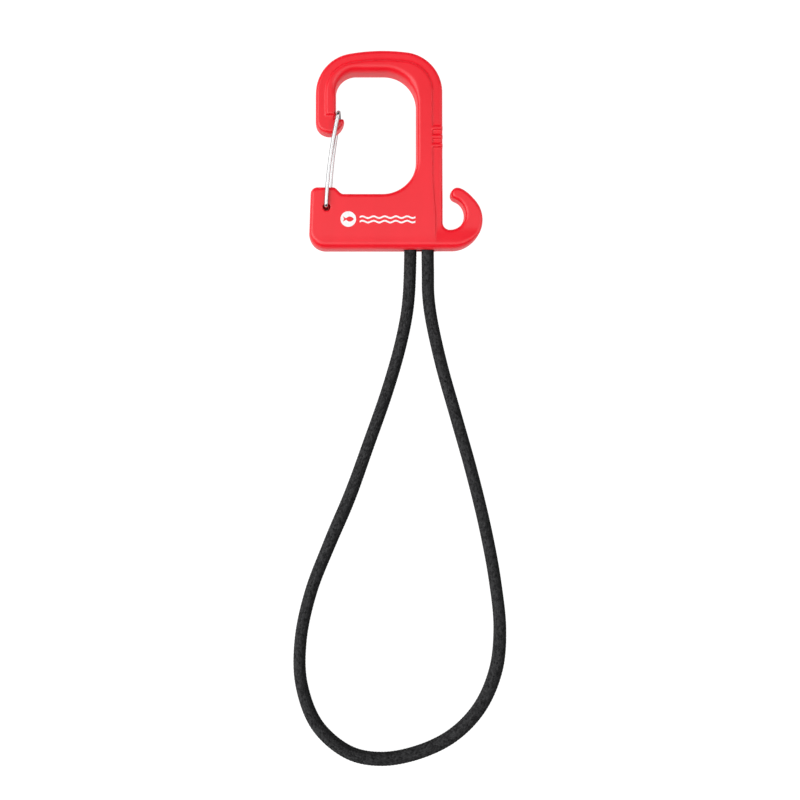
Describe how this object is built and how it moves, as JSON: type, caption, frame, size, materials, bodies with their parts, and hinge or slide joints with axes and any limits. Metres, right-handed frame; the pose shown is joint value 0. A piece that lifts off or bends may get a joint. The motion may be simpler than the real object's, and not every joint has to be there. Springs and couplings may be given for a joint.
{
  "type": "bungee snap hook",
  "caption": "Moulded snap hook with a sprung wire gate, a small open side hook and a long loop of elastic cord.",
  "frame": {"origin": "under the middle of the hook, on the surface it lies on; the cord isn't counted", "axes": "+Y along the hook from its base to the top of its eye, +Z out of its front face, +X towards the open side hook"},
  "size_m": [0.0875, 0.2926, 0.0142],
  "materials": {
    "red_plastic": "satin moulded",
    "polished_steel": "polished wire",
    "woven_black": "woven polyester sleeve",
    "rubber_strands": "natural latex",
    "crimp_metal": "pressed"
  },
  "bodies": {
    "hook": {"hook_body": "red_plastic", "back_cover": "red_plastic", "cord_sheath": "woven_black", "cord_core": "rubber_strands", "crimp_left": "crimp_metal", "crimp_right": "crimp_metal"},
    "gate": {"gate_wire": "polished_steel"}
  },
  "joints": [
    {"name": "gate_hinge", "type": "hinge", "parent": "hook", "child": "gate", "pos_m": [-0.0283, -0.02315, 0.0071], "axis": [0, 0, -1], "range_deg": [0, 56], "stiffness_Nm_per_rad": 0.1, "springref_deg": -17.19}
  ]
}
